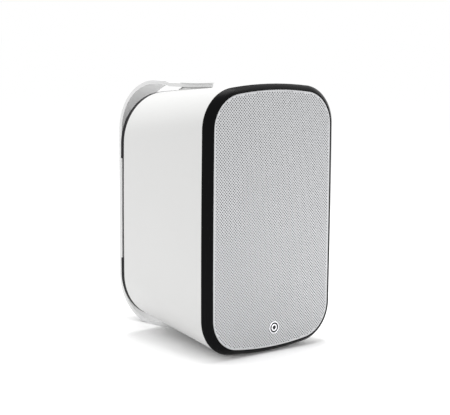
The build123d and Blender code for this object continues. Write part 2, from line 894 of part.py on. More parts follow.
tweeter_screws_at = [
    (
        tweeter_screw_circle * cos(radians(tweeter_screw_start + 360 / tweeter_screws_count * k)),
        tweeter_screw_circle * sin(radians(tweeter_screw_start + 360 / tweeter_screws_count * k)),
    )
    for k in range(tweeter_screws_count)
]
small_screw = screw(
    tweeter_screw_radius, tweeter_screw_length, tweeter_screw_head, screw_head_height
)
tweeter_screws = screws_on(at_tweeter(0), tweeter_screws_at, small_screw)
export(tweeter_screws, "tweeter_screws")

dome_outer = cap_arc(dome_radius, dome_height, dome_base_depth)
dome_inner = cap_arc(dome_radius - dome_sheet, dome_height, dome_base_depth + dome_sheet)

with BuildPart() as tweeter_dome:
    with BuildSketch(tweeter_plane):
        with BuildLine():
            ThreePointArc(*dome_outer)
            Line(dome_outer[2], dome_inner[2])
            ThreePointArc(*dome_inner)
            Line(dome_inner[0], dome_outer[0])
        make_face()
    revolve(axis=tweeter_axis)
export(tweeter_dome, "tweeter_dome")

with BuildPart() as tweeter_voice_coil:
    with BuildSketch(at_tweeter(dome_base_depth)):
        add(ring(dome_coil_radius, dome_radius))
    extrude(amount=-tweeter_coil_length)
export(tweeter_voice_coil, "tweeter_voice_coil")

roll_inner = dome_coil_radius + thread_gap
roll_outer = roll_inner + dome_roll
roll_centre = roll_inner + dome_roll / 2

with BuildPart() as tweeter_surround:
    with BuildSketch(tweeter_plane):
        with BuildLine():
            ThreePointArc(
                (roll_inner, tweeter_body_depth),
                (roll_centre, tweeter_body_depth - dome_roll_height),
                (roll_outer, tweeter_body_depth),
            )
            Polyline(
                (roll_outer, tweeter_body_depth),
                (roll_outer + dome_edge, tweeter_body_depth),
                (roll_outer + dome_edge, dome_plate_front),
                (roll_outer, dome_plate_front),
            )
            ThreePointArc(
                (roll_outer, dome_plate_front),
                (roll_centre, dome_plate_front - dome_roll_height),
                (roll_inner, dome_plate_front),
            )
            Line((roll_inner, dome_plate_front), (roll_inner, tweeter_body_depth))
        make_face()
    revolve(axis=tweeter_axis)
export(tweeter_surround, "tweeter_surround")

with BuildPart() as tweeter_top_plate:
    with BuildSketch(at_tweeter(dome_plate_front)):
        add(ring(tweeter_motor, dome_coil_radius + tweeter_coil_gap))
    extrude(amount=-tweeter_plate)
export(tweeter_top_plate, "tweeter_top_plate")

with BuildPart() as tweeter_magnet:
    with BuildSketch(at_tweeter(dome_plate_back)):
        add(ring(tweeter_motor, tweeter_magnet_bore))
    extrude(amount=-tweeter_magnet_thickness)
export(tweeter_magnet, "tweeter_magnet")

with BuildPart() as tweeter_back_plate:
    with BuildSketch(at_tweeter(tweeter_magnet_back)):
        Circle(tweeter_motor)
    extrude(amount=-tweeter_plate)
    with BuildSketch(at_tweeter(tweeter_magnet_back)):
        Circle(dome_radius - tweeter_pole_gap)
    extrude(amount=tweeter_magnet_back - dome_plate_front)
export(tweeter_back_plate, "tweeter_back_plate")

tweeter_back = tweeter_magnet_back + tweeter_plate

with BuildPart() as tweeter_terminals:
    with BuildSketch(at_tweeter(tweeter_back)):
        Rectangle(terminal_tab_width, terminal_tab_reach)
    extrude(amount=-terminal_strip)
    with BuildSketch(at_tweeter(tweeter_back + terminal_strip)):
        with GridLocations(terminal_spacing, 0, 2, 1):
            Rectangle(blade_thickness, blade_width)
    extrude(amount=-blade_length)
export(tweeter_terminals, "tweeter_terminals")

# rear cover
cover_front = rear + rear_gasket_thickness
cover_back = cover_front + rear_cover_thickness
band_face = cover_front + rear_cover_skin
cup_face = band_face + cup_gasket_thickness + cup_flange_thickness
cup_floor = cup_face - cup_depth
cup_screw_x = cup_width / 2 + cup_wall + cup_screw_inset
cup_screws_at = [(side * cup_screw_x, end * cup_screw_z) for side in (-1, 1) for end in (-1, 1)]

with BuildPart() as rear_gasket:
    with BuildSketch(at_depth(rear)):
        add(shell_outline(rear, fit_gap))
        add(shell_outline(rear, ledge_inset), mode=Mode.SUBTRACT)
        with Locations(*rear_screws_at):
            Circle(screw_radius + screw_clearance, mode=Mode.SUBTRACT)
    extrude(amount=-rear_gasket_thickness)
export(rear_gasket, "rear_gasket")

with BuildPart() as rear_cover:
    with BuildSketch(at_depth(cover_front)):
        add(shell_outline(rear, fit_gap))
    extrude(amount=-rear_cover_thickness)
    fillet(rear_cover.edges().group_by(Axis.Y)[-1], rear_cover_edge)
    with BuildSketch(at_depth(band_face)):
        Rectangle(2 * rear_width, rear_band_height)
    extrude(amount=-rear_cover_thickness, mode=Mode.SUBTRACT)
    with BuildSketch(at_depth(cover_front)):
        add(shell_outline(rear, ledge_inset + rear_cover_wall))
        Rectangle(2 * rear_width, rear_band_height + 2 * rear_cover_wall, mode=Mode.SUBTRACT)
    extrude(amount=-(rear_cover_thickness - rear_cover_skin), mode=Mode.SUBTRACT)
    with BuildSketch(at_depth(cover_front)):
        RectangleRounded(
            cup_width + 2 * (cup_wall + fit_gap), cup_height + 2 * (cup_wall + fit_gap), cup_corner + cup_wall
        )
        with Locations(*rear_screws_at):
            Circle(screw_radius + screw_clearance)
        with Locations(*cup_screws_at):
            Circle(tweeter_screw_radius + thread_gap)
    extrude(amount=-rear_cover_thickness, mode=Mode.SUBTRACT)
    with BuildSketch(at_depth(band_face)):
        with Locations(*rear_screws_at):
            Circle(rear_counterbore)
    extrude(amount=-rear_cover_thickness, mode=Mode.SUBTRACT)
export(rear_cover, "rear_cover")


def facing_back(depth):
    """The upright plane at a depth, seen from behind, so that screws driven from the back stand on it."""
    return Plane(origin=(0, front_y + depth, centre_z), x_dir=(-1, 0, 0), z_dir=(0, 1, 0))


cover_screw = screw(screw_radius, rear_screw_length, screw_head_radius, screw_head_height)
rear_cover_screws = screws_on(facing_back(band_face), rear_screws_at, cover_screw)
export(rear_cover_screws, "rear_cover_screws")

# terminal cup, posts and caps
cup_outer = (cup_width + 2 * cup_wall, cup_height + 2 * cup_wall, cup_corner + cup_wall)
cup_rim = (cup_outer[0] + 2 * cup_flange, cup_outer[1] + 2 * cup_flange, cup_outer[2] + cup_flange)
posts_at = [(post_x, post_spacing / 2), (post_x, -post_spacing / 2)]

with BuildPart() as terminal_gasket:
    with BuildSketch(at_depth(band_face)):
        RectangleRounded(*cup_rim)
        RectangleRounded(
            cup_outer[0] + 2 * fit_gap, cup_outer[1] + 2 * fit_gap, cup_outer[2], mode=Mode.SUBTRACT
        )
        with Locations(*cup_screws_at):
            Circle(tweeter_screw_radius + thread_gap, mode=Mode.SUBTRACT)
    extrude(amount=-cup_gasket_thickness)
export(terminal_gasket, "terminal_gasket")

with BuildPart() as terminal_cup:
    with BuildSketch(at_depth(cup_face)):
        RectangleRounded(*cup_rim)
    extrude(amount=cup_flange_thickness)
    with BuildSketch(at_depth(cup_face)):
        RectangleRounded(*cup_outer)
    extrude(amount=cup_depth + cup_wall)
    with BuildSketch(at_depth(cup_face)):
        RectangleRounded(cup_width, cup_height, cup_corner)
    extrude(amount=cup_depth, mode=Mode.SUBTRACT)
    with BuildSketch(at_depth(cup_face)):
        with Locations(*cup_screws_at):
            Circle(tweeter_screw_radius + thread_gap)
    extrude(amount=cup_flange_thickness, mode=Mode.SUBTRACT)
    with BuildSketch(at_depth(cup_floor)):
        with Locations(*posts_at):
            Circle(post_tail_radius + thread_gap)
    extrude(amount=cup_wall, mode=Mode.SUBTRACT)
export(terminal_cup, "terminal_cup")

flange_screw = screw(
    tweeter_screw_radius,
    cup_flange_thickness + cup_gasket_thickness + rear_cover_skin,
    tweeter_screw_head,
    cup_screw_head,
)
terminal_screws = screws_on(facing_back(cup_face), cup_screws_at, flange_screw)
export(terminal_screws, "terminal_screws")

for sign, place in zip(("positive", "negative"), posts_at):
    with BuildPart() as terminal_post:
        with BuildSketch(at_depth(cup_floor)):
            with Locations(place):
                Circle(post_base_radius)
        extrude(amount=-post_base)
        with BuildSketch(at_depth(cup_floor)):
            with Locations(place):
                Circle(post_radius)
        extrude(amount=-post_length)
        with BuildSketch(at_depth(cup_floor)):
            with Locations(place):
                Circle(post_tail_radius)
        extrude(amount=post_tail)
        with BuildSketch(at_depth(cup_floor + post_length)):
            with Locations(place):
                Circle(post_socket)
        extrude(amount=post_socket_depth, mode=Mode.SUBTRACT)
    export(terminal_post, f"terminal_post_{sign}")

    with BuildPart() as terminal_cap:
        with BuildSketch(at_depth(cup_floor + post_base + cap_gap)):
            with Locations(place):
                Circle(cap_radius)
                with PolarLocations(cap_radius, cap_ribs):
                    Circle(cap_rib, mode=Mode.SUBTRACT)
                Circle(post_radius + cap_bore_gap, mode=Mode.SUBTRACT)
        extrude(amount=-cap_length)
    export(terminal_cap, f"terminal_cap_{sign}")

# crossover
board_back = cup_floor - cup_wall - board_standoff
board_front = board_back - board_thickness

with BuildPart() as board_standoffs:
    with BuildSketch(at_depth(board_back)):
        with GridLocations(2 * board_hole_x, 2 * board_hole_z, 2, 2):
            Circle(board_standoff_radius)
        with GridLocations(2 * board_hole_x, 2 * board_hole_z, 2, 2):
            Circle(tweeter_screw_radius + thread_gap, mode=Mode.SUBTRACT)
    extrude(amount=-board_standoff)
export(board_standoffs, "board_standoffs")

with BuildPart() as crossover_board:
    with BuildSketch(at_depth(board_front)):
        RectangleRounded(board_width, board_height, board_corner)
        with GridLocations(2 * board_hole_x, 2 * board_hole_z, 2, 2):
            Circle(tweeter_screw_radius + thread_gap, mode=Mode.SUBTRACT)
        with Locations(*posts_at):
            Circle(post_tail_radius + thread_gap, mode=Mode.SUBTRACT)
    extrude(amount=-board_thickness)
export(crossover_board, "crossover_board")

board_holes = [(x * board_hole_x, z * board_hole_z) for x in (-1, 1) for z in (-1, 1)]
board_screw = screw(
    tweeter_screw_radius, board_screw_length, tweeter_screw_head, screw_head_height
)
board_screws = screws_on(at_depth(board_front), board_holes, board_screw)
export(board_screws, "board_screws")

with BuildPart() as post_nuts:
    with BuildSketch(at_depth(board_front)):
        with Locations(*posts_at):
            RegularPolygon(nut_radius, 6)
        with Locations(*posts_at):
            Circle(post_tail_radius + thread_gap, mode=Mode.SUBTRACT)
    extrude(amount=nut_height)
export(post_nuts, "post_nuts")

with BuildPart() as crossover_coils:
    for place, outer, inner, height in coil_places:
        with BuildSketch(at_depth(board_front)):
            with Locations(place):
                add(ring(outer, inner))
        extrude(amount=height)
export(crossover_coils, "crossover_coils")

with BuildPart() as crossover_capacitors:
    for (x, z), radius, length in capacitor_places:
        with BuildSketch(Plane.YZ.offset(x - length / 2)):
            with Locations((front_y + board_front - radius, centre_z + z)):
                Circle(radius)
        extrude(amount=length)
    fillet(crossover_capacitors.edges().filter_by(GeomType.CIRCLE), capacitor_edge)
export(crossover_capacitors, "crossover_capacitors")

with BuildPart() as crossover_resistor:
    with BuildSketch(at_depth(board_front)):
        with Locations(resistor_place):
            Rectangle(resistor_size[0], resistor_size[1])
    extrude(amount=resistor_size[2])
export(crossover_resistor, "crossover_resistor")


def lead(start, landing):
    """One wire from a driver's blade back to the board, straight out of each end."""
    run = (front_y + board_front - start.Y) / 4
    points = [
        start,
        start + Vector(0, run, 0),
        Vector(landing.X, landing.Y - run, landing.Z),
        landing,
    ]
    with BuildLine() as route:
        FilletPolyline(*points, radius=run * 0.8)
    with BuildPart(mode=Mode.PRIVATE) as wire:
        with BuildSketch(Plane(origin=start, z_dir=(0, 1, 0))):
            Circle(lead_radius)
        sweep(path=route.wire())
    return wire.part


woofer_blade_x = magnet_radius + (terminal_tab_reach + motor_radius - magnet_radius) / 2
woofer_blade_end = front_y + seam + ring_back + terminal_strip + blade_length
tweeter_blade_end = front_y + seam + tweeter_back + terminal_strip + blade_length

with BuildPart() as woofer_leads:
    for side in (-1, 1):
        add(
            lead(
                Vector(woofer_blade_x, woofer_blade_end, centre_z + woofer_z + side * terminal_spacing / 2),
                Vector(
                    woofer_lead_landing[0],
                    front_y + board_front,
                    centre_z + woofer_lead_landing[1] + side * lead_spacing / 2,
                ),
            )
        )
export(woofer_leads, "woofer_leads")

with BuildPart() as tweeter_leads:
    for side in (-1, 1):
        add(
            lead(
                Vector(tweeter_x + side * terminal_spacing / 2, tweeter_blade_end, centre_z + tweeter_z),
                Vector(
                    tweeter_lead_landing[0] + side * lead_spacing / 2,
                    front_y + board_front,
                    centre_z + tweeter_lead_landing[1],
                ),
            )
        )
export(tweeter_leads, "tweeter_leads")

# wadding
with BuildPart() as damping_wadding:
    with BuildSketch(at_depth(seam + wadding_front)):
        with Locations((0, (wadding_top - front_height / 2) / 2)):
            Rectangle(wadding_width, front_height / 2 + wadding_top)
    extrude(amount=-wadding_length)
    fillet(damping_wadding.edges(), wadding_edge)
    add(shell_cavity.part, mode=Mode.INTERSECT)
export(damping_wadding, "damping_wadding")

# pivots
lower_face = front_height / 2  # the lower arm's outer face, which the speaker stands on
arm_face = front_height / 2 - upper_arm_drop
top_face = arm_face - upper_step
boss_root = shell_top - boss_sink
boss_bore = pivot_radius + pivot_clearance
insert_end = shell_top - insert_boss_length
pivot_plane = Plane(origin=(0, pivot_y, centre_z), x_dir=(1, 0, 0), z_dir=(0, -1, 0))
pivot_axis = Axis((0, pivot_y, centre_z), (0, 0, 1))

for name, end, outer_face in (("upper", 1, top_face), ("lower", -1, lower_face)):
    boss_face = outer_face - bracket_thickness - washer_thickness
    with BuildPart() as pivot_boss:
        with BuildSketch(pivot_plane):
            with BuildLine():
                Polyline(
                    (boss_radius, end * boss_face),
                    (boss_bore, end * boss_face),
                    (boss_bore, end * boss_root),
                    (boss_radius + boss_flare, end * boss_root),
                    (boss_radius + boss_flare, end * shell_top),
                )
                ThreePointArc(
                    (boss_radius + boss_flare, end * shell_top),
                    (boss_radius + boss_flare / 4, end * (shell_top + (boss_face - shell_top) * 0.4)),
                    (boss_radius, end * boss_face),
                )
            make_face()
        revolve(axis=pivot_axis)
        add(shell_envelope.part, mode=Mode.SUBTRACT)
    export(pivot_boss, f"{name}_pivot_boss")

    with BuildPart() as pivot_washer:
        with BuildSketch(Plane(origin=(0, pivot_y, centre_z + end * boss_face), z_dir=(0, 0, end))):
            add(ring(washer_radius, boss_bore))
        extrude(amount=washer_thickness)
    export(pivot_washer, f"{name}_pivot_washer")

with BuildPart() as pivot_inserts:
    for end in (-1, 1):
        with BuildSketch(Plane(origin=(0, pivot_y, centre_z + end * insert_end), z_dir=(0, 0, end))):
            add(ring(insert_radius, pivot_radius + insert_gap))
        extrude(amount=insert_length)
export(pivot_inserts, "pivot_inserts")

# knob and bolts
knob_start, knob_middle, knob_top = cap_arc(knob_radius, knob_height - knob_rim, 0)
bolt_tip = insert_end + bolt_end

with BuildPart() as upper_knob:
    with BuildSketch(pivot_plane):
        with BuildLine():
            Polyline(
                (knob_radius, top_face + knob_rim),
                (knob_radius, top_face),
                (knob_bolt_head, top_face),
                (knob_bolt_head, top_face + knob_bolt_head_height),
                (0, top_face + knob_bolt_head_height),
                (0, top_face + knob_height),
            )
            ThreePointArc(
                (0, top_face + knob_height),
                (knob_middle[0], top_face + knob_rim - knob_middle[1]),
                (knob_radius, top_face + knob_rim),
            )
        make_face()
    revolve(axis=pivot_axis)
export(upper_knob, "upper_knob")

with BuildPart() as upper_bolt:
    with BuildSketch(pivot_plane):
        add(
            profile(
                (0, bolt_tip),
                (pivot_radius, bolt_tip),
                (pivot_radius, top_face),
                (knob_bolt_head, top_face),
                (knob_bolt_head, top_face + knob_bolt_head_height),
                (0, top_face + knob_bolt_head_height),
            )
        )
    revolve(axis=pivot_axis)
export(upper_bolt, "upper_bolt")

head_top = lower_face - bolt_head_sink
head_cone = head_top - bolt_head_rim
head_neck = head_cone - (bolt_head_radius - pivot_radius)

with BuildPart() as lower_bolt:
    with BuildSketch(pivot_plane):
        add(
            profile(
                (0, -head_top),
                (bolt_head_radius, -head_top),
                (bolt_head_radius, -head_cone),
                (pivot_radius, -head_neck),
                (pivot_radius, -bolt_tip),
                (0, -bolt_tip),
            )
        )
    revolve(axis=pivot_axis)
    with BuildSketch(Plane(origin=(0, pivot_y, centre_z - head_top), z_dir=(0, 0, 1))):
        RegularPolygon(bolt_key, 6)
    extrude(amount=bolt_key_depth, mode=Mode.SUBTRACT)
export(lower_bolt, "lower_bolt")

# bracket
reach_direction = (-sin(turn), cos(turn), 0)
side_direction = (cos(turn), sin(turn), 0)
bracket_plane = Plane(origin=(0, pivot_y, centre_z), x_dir=reach_direction, z_dir=side_direction)


def strap_outline(reach, inset):
    """The bracket's side view from the pivot to its back, or the same drawn in by an inset."""
    with BuildSketch() as face:
        add(
            profile(
                (0, top_face - inset),
                (upper_step_start, top_face - inset),
                (upper_step_end, arm_face - inset),
                (reach, arm_face - inset),
                (reach, inset - lower_face),
                (0, inset - lower_face),
            )
        )
        back_corners = face.vertices().group_by(Axis.X)[-1].sort_by(Axis.Y)
        fillet(back_corners[-1], upper_bend + bracket_thickness - inset)
        back_corners = face.vertices().group_by(Axis.X)[-1].sort_by(Axis.Y)
        fillet(back_corners[0], lower_bend + bracket_thickness - inset)
    return face.sketch


with BuildPart() as bracket:
    with BuildSketch(bracket_plane):
        add(strap_outline(bracket_reach + bracket_thickness, 0))
        add(strap_outline(bracket_reach, bracket_thickness), mode=Mode.SUBTRACT)
    extrude(amount=bracket_width / 2, both=True)
    for end, outer_face in ((1, top_face), (-1, lower_face)):
        with BuildSketch(Plane.XY.offset(centre_z + end * outer_face)):
            with Locations((0, pivot_y)):
                Circle(bracket_end)
        extrude(amount=-end * bracket_thickness)
    with BuildSketch(pivot_plane):
        add(
            profile(
                (0, top_face),
                (pivot_radius + pivot_gap, top_face),
                (pivot_radius + pivot_gap, top_face - bracket_thickness),
                (0, top_face - bracket_thickness),
            )
        )
        add(
            profile(
                (0, -lower_face),
                (bolt_head_radius + pivot_gap, -lower_face),
                (bolt_head_radius + pivot_gap, -head_cone),
                (pivot_radius + pivot_gap, -head_neck),
                (pivot_radius + pivot_gap, bracket_thickness - lower_face),
                (0, bracket_thickness - lower_face),
            )
        )
    revolve(axis=pivot_axis, mode=Mode.SUBTRACT)
    with BuildSketch(
        Plane(
            origin=Vector(0, pivot_y, centre_z) + Vector(*reach_direction) * bracket_reach,
            x_dir=side_direction,
            z_dir=reach_direction,
        )
    ):
        with GridLocations(0, wall_hole_spacing, 1, 2):
            Circle(wall_hole_radius)
    extrude(amount=bracket_thickness, mode=Mode.SUBTRACT)
export(bracket, "bracket")
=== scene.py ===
import json

import bpy
import numpy as np
from mathutils import Matrix, Vector, geometry


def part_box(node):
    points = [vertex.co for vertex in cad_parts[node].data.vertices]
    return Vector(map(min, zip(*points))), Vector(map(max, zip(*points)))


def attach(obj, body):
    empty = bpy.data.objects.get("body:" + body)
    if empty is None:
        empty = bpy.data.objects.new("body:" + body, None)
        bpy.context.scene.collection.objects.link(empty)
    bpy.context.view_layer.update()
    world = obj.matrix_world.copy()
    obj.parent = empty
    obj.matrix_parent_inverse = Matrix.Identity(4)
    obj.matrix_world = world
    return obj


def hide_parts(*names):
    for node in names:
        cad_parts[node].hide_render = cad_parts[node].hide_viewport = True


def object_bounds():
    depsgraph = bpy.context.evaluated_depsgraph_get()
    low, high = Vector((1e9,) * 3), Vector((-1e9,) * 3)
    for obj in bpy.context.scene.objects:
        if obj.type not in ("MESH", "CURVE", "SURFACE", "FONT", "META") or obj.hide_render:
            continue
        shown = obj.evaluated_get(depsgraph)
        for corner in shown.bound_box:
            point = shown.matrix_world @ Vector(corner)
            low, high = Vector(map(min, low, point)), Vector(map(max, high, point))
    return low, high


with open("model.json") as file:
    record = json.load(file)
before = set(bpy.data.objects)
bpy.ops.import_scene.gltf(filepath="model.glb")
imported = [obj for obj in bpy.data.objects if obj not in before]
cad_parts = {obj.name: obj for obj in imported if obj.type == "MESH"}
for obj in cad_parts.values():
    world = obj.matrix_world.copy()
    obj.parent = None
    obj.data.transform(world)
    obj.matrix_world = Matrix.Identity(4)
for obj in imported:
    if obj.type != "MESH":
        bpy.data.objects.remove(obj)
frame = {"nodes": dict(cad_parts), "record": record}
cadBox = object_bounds()
nodes = frame["nodes"]
slotOf = {part["node"]: part["material_slot"] for part in frame["record"]["subparts"]}
rng = np.random.default_rng(11)
print("frame loaded")


# small helpers for meshes
def newPiece(name, vertices, faces, smoothBelow=None):
    # faces is a list of arrays, each with one row per face
    mesh = bpy.data.meshes.new(name)
    sizes = np.concatenate([np.full(len(block), block.shape[1]) for block in faces])
    corners = np.concatenate([block.ravel() for block in faces])
    mesh.vertices.add(len(vertices))
    mesh.vertices.foreach_set("co", np.asarray(vertices, dtype=np.float32).ravel())
    mesh.loops.add(len(corners))
    mesh.loops.foreach_set("vertex_index", corners.astype(np.int32))
    mesh.polygons.add(len(sizes))
    mesh.polygons.foreach_set("loop_start", (np.cumsum(sizes) - sizes).astype(np.int32))
    mesh.polygons.foreach_set("loop_total", sizes.astype(np.int32))
    mesh.update(calc_edges=True)
    mesh.validate()
    if smoothBelow is not None:
        mesh.polygons.foreach_set("use_smooth", np.ones(len(mesh.polygons), dtype=bool))
        mesh.set_sharp_from_angle(angle=np.radians(smoothBelow))
    piece = bpy.data.objects.new(name, mesh)
    bpy.context.scene.collection.objects.link(piece)
    return piece


def gridFaces(rows, columns, closedRows=False, closedColumns=False):
    # quads between neighbouring points of a rows by columns grid, wrapped round where it is closed
    rowStarts = np.arange(rows if closedRows else rows - 1)
    columnStarts = np.arange(columns if closedColumns else columns - 1)
    i, j = np.meshgrid(rowStarts, columnStarts, indexing="ij")
    nextI, nextJ = (i + 1) % rows, (j + 1) % columns
    return np.stack(
        [i * columns + j, nextI * columns + j, nextI * columns + nextJ, i * columns + nextJ], axis=-1
    ).reshape(-1, 4)


def archedLoop(outline, inset=0.0, steps=(24, 22, 20)):
    # A rounded rectangle of twelve tangent arcs. A quarter runs along the side's shallow arc, round
    # the corner's arc and along the top's shallow arc; the corner's centre lies where circles of
    # (side radius - corner) and (top radius - corner) about the big arcs' centres cross.
    halfWidth, halfHeight = outline["width"] / 2 - inset, outline["height"] / 2 - inset
    corner, rise, bow = outline["corner"] - inset, outline["rise"], outline["bow"]
    topRadius = (halfWidth**2 + rise**2) / (2 * rise)
    sideRadius = (halfHeight**2 + bow**2) / (2 * bow)
    topCentre = np.array([0, halfHeight - topRadius])
    sideCentre = np.array([halfWidth - sideRadius, 0])
    between = topCentre - sideCentre
    gap = np.hypot(*between)
    unit = between / gap
    along = ((sideRadius - corner) ** 2 - (topRadius - corner) ** 2 + gap**2) / (2 * gap)
    across = np.sqrt((sideRadius - corner) ** 2 - along**2)
    cornerCentre = sideCentre + unit * along + np.array([-unit[1], unit[0]]) * across
    sideEnd = np.arctan2(*(cornerCentre - sideCentre)[::-1])
    cornerEnd = np.arctan2(*(cornerCentre - topCentre)[::-1])

    def arc(centre, radius, start, end, count):
        angle = np.linspace(start, end, count, endpoint=False)
        return centre + radius * np.stack([np.cos(angle), np.sin(angle)], axis=1)

    quarter = np.concatenate(
        [
            arc(sideCentre, sideRadius, 0, sideEnd, steps[0]),
            arc(cornerCentre, corner, sideEnd, cornerEnd, steps[1]),
            arc(topCentre, topRadius, cornerEnd, np.pi / 2, steps[2]),
            [[0, halfHeight]],
        ]
    )
    half = np.concatenate([quarter, (quarter[::-1] * [-1, 1])[1:]])
    return np.concatenate([half, (half[::-1] * [1, -1])[1:-1]])


def insideLoop(points, loop):
    # a point is inside where a ray from it crosses the loop an odd number of times
    x, z = points[:, :1], points[:, 1:]
    startX, startZ = loop[:, 0], loop[:, 1]
    endX, endZ = np.roll(startX, -1), np.roll(startZ, -1)
    straddles = (startZ > z) != (endZ > z)
    climb = np.where(endZ == startZ, 1e-12, endZ - startZ)  # never zero, as it divides
    crossing = startX + (z - startZ) * (endX - startX) / climb
    return (straddles & (x < crossing)).sum(axis=1) % 2 == 1


# shader maths
class Wire:
    # a socket that arithmetic can be done on: each operator adds a Math node
    def __init__(self, finish, socket):
        self.finish = finish
        self.socket = socket

    def maths(self, operation, first, second):
        return self.finish.node("ShaderNodeMath", {"operation": operation}, {0: first, 1: second})

    def __add__(self, other):
        return self.maths("ADD", self, other)

    def __radd__(self, other):
        return self.maths("ADD", other, self)

    def __sub__(self, other):
        return self.maths("SUBTRACT", self, other)

    def __mul__(self, other):
        return self.maths("MULTIPLY", self, other)

    def __rmul__(self, other):
        return self.maths("MULTIPLY", other, self)

    def __gt__(self, other):
        return self.maths("GREATER_THAN", self, other)

    def __lt__(self, other):  # also taken where a number stands left of >
        return self.maths("LESS_THAN", self, other)


class Finish:
    # one material: a Principled shader and whatever feeds it
    def __init__(self, name, **constants):
        self.material = bpy.data.materials.new(name)
        self.material.use_nodes = True
        self.tree = self.material.node_tree
        self.shader = self.tree.nodes["Principled BSDF"]
        self.place = self.node("ShaderNodeTexCoord", output="Object")
        for socket, value in constants.items():
            self.shader.inputs[socket].default_value = value

    def node(self, kind, settings=None, sockets=None, output=0):
        made = self.tree.nodes.new(kind)
        for key, value in (settings or {}).items():
            setattr(made, key, value)
        for key, value in (sockets or {}).items():
            self.feed(made.inputs[key], value)
        return Wire(self, made.outputs[output])

    def feed(self, socket, value):
        if isinstance(value, Wire):
            self.tree.links.new(value.socket, socket)
        else:
            socket.default_value = value

    def noise(self, scale, detail=2.0, stretch=None, roughness=0.5):
        place = self.place
        if stretch:
            place = self.node("ShaderNodeMapping", None, {"Vector": place, "Scale": stretch})
        return self.node(
            "ShaderNodeTexNoise",
            None,
            {"Vector": place, "Scale": scale, "Detail": detail, "Roughness": roughness},
        )

    def waves(self, scale, direction, distortion=0.0):
        return self.node(
            "ShaderNodeTexWave",
            {"wave_type": "BANDS", "bands_direction": direction, "wave_profile": "SIN"},
            {"Vector": self.place, "Scale": scale, "Distortion": distortion},
        )

    def colourMix(self, factor, first, second):
        return self.node(
            "ShaderNodeMix",
            {"data_type": "RGBA"},
            {0: factor, 6: self.opaque(first), 7: self.opaque(second)},
            output=2,
        )

    def opaque(self, colour):
        return colour if isinstance(colour, Wire) else (*colour, 1)

    def bump(self, height, depth, strength=1.0, under=None):
        sockets = {"Height": height, "Distance": depth, "Strength": strength}
        if under:
            sockets["Normal"] = under
        return self.node("ShaderNodeBump", None, sockets)

    def drive(self, **wires):
        for socket, wire in wires.items():
            self.feed(self.shader.inputs[socket.replace("_", " ")], wire)
        return self.material


def shade(colour, factor):
    return tuple(min(1.0, part * factor) for part in colour)


def moulded(
    name, colour, roughness=0.45, grainScale=1400.0, grainDepth=0.00004, drift=0.03, **constants
):
    # moulded plastic: a fine grain, a faint drift in shade and worn-smooth patches
    finish = Finish(name, **constants)
    drifting = finish.noise(9.0, 3.0)
    grain = finish.noise(grainScale, 2.0)
    return finish.drive(
        Base_Color=finish.colourMix(drifting, shade(colour, 1 - drift), shade(colour, 1 + drift)),
        Roughness=roughness + 0.12 * (finish.noise(35.0, 3.0) - 0.5) + 0.08 * (grain - 0.5),
        Normal=finish.bump(grain, grainDepth),
    )


def powderCoat(
    name, colour, roughness=0.4, peelScale=420.0, peelDepth=0.00006, drift=0.02, **constants
):
    # powder coat: the soft dimpling of baked paint over a finer sparkle
    finish = Finish(name, **constants)
    peel = finish.noise(peelScale, 1.0)
    fine = finish.noise(2600.0, 2.0)
    return finish.drive(
        Base_Color=finish.colourMix(
            finish.noise(7.0), shade(colour, 1 - drift), shade(colour, 1 + drift)
        ),
        Roughness=roughness + 0.1 * (peel - 0.5),
        Normal=finish.bump(fine, peelDepth / 6, under=finish.bump(peel, peelDepth)),
    )


def brushed(name, colour, roughness=0.32, stretch=(1, 1, 30), scale=160.0, **constants):
    # metal with drawn-out scratches and cloudy tarnish
    finish = Finish(name, Metallic=1.0, **constants)
    scratches = finish.noise(scale, 4.0, stretch)
    cloud = finish.noise(60.0, 3.0)
    return finish.drive(
        Base_Color=finish.colourMix(cloud, shade(colour, 0.86), shade(colour, 1.06)),
        Roughness=roughness + 0.22 * (scratches - 0.5) + 0.12 * (cloud - 0.5),
        Normal=finish.bump(scratches, 0.00002),
    )


def woven(name, colour, threads=900.0, depth=0.00015, roughness=0.85, **constants):
    # cloth: two sets of threads crossing, darker between them, with uneven yarn
    finish = Finish(name, **constants)
    across, up = finish.waves(threads, "X", 0.4), finish.waves(threads, "Z", 0.4)
    weave = across * 0.5 + up * 0.5
    uneven = finish.noise(500.0, 3.0)
    return finish.drive(
        Base_Color=finish.colourMix(
            weave * 0.7 + uneven * 0.3, shade(colour, 0.72), shade(colour, 1.1)
        ),
        Roughness=roughness + 0.1 * (uneven - 0.5),
        Normal=finish.bump(weave, depth),
    )


def soft(name, colour, roughness=0.8, cellScale=900.0, cellDepth=0.0002):
    # foam and rubber: small open cells
    finish = Finish(name)
    cells = finish.node(
        "ShaderNodeTexVoronoi", {"feature": "F1"}, {"Vector": finish.place, "Scale": cellScale}
    )
    mottle = finish.noise(90.0, 3.0)
    return finish.drive(
        Base_Color=finish.colourMix(mottle, shade(colour, 0.8), shade(colour, 1.25)),
        Roughness=roughness + 0.15 * (mottle - 0.5),
        Normal=finish.bump(cells, cellDepth),
    )


def wound(name, colour, turns=900.0):
    # enamelled wire lying turn beside turn along the coil
    finish = Finish(name, Metallic=0.85)
    wire = finish.waves(turns, "Y", 0.15)
    stain = finish.noise(120.0, 3.0)
    return finish.drive(
        Base_Color=finish.colourMix(stain, shade(colour, 0.7), shade(colour, 1.15)),
        Roughness=0.25 + 0.2 * stain,
        Normal=finish.bump(wire, 0.00025),
    )


def sintered(name, colour):
    # ferrite: charcoal with grey flecks and a few pits
    finish = Finish(name)
    fleck = finish.noise(700.0, 4.0)
    return finish.drive(
        Base_Color=finish.colourMix(fleck, shade(colour, 0.6), shade(colour, 2.0)),
        Roughness=0.55 + 0.3 * (fleck - 0.5),
        Normal=finish.bump(fleck, 0.00012),
    )


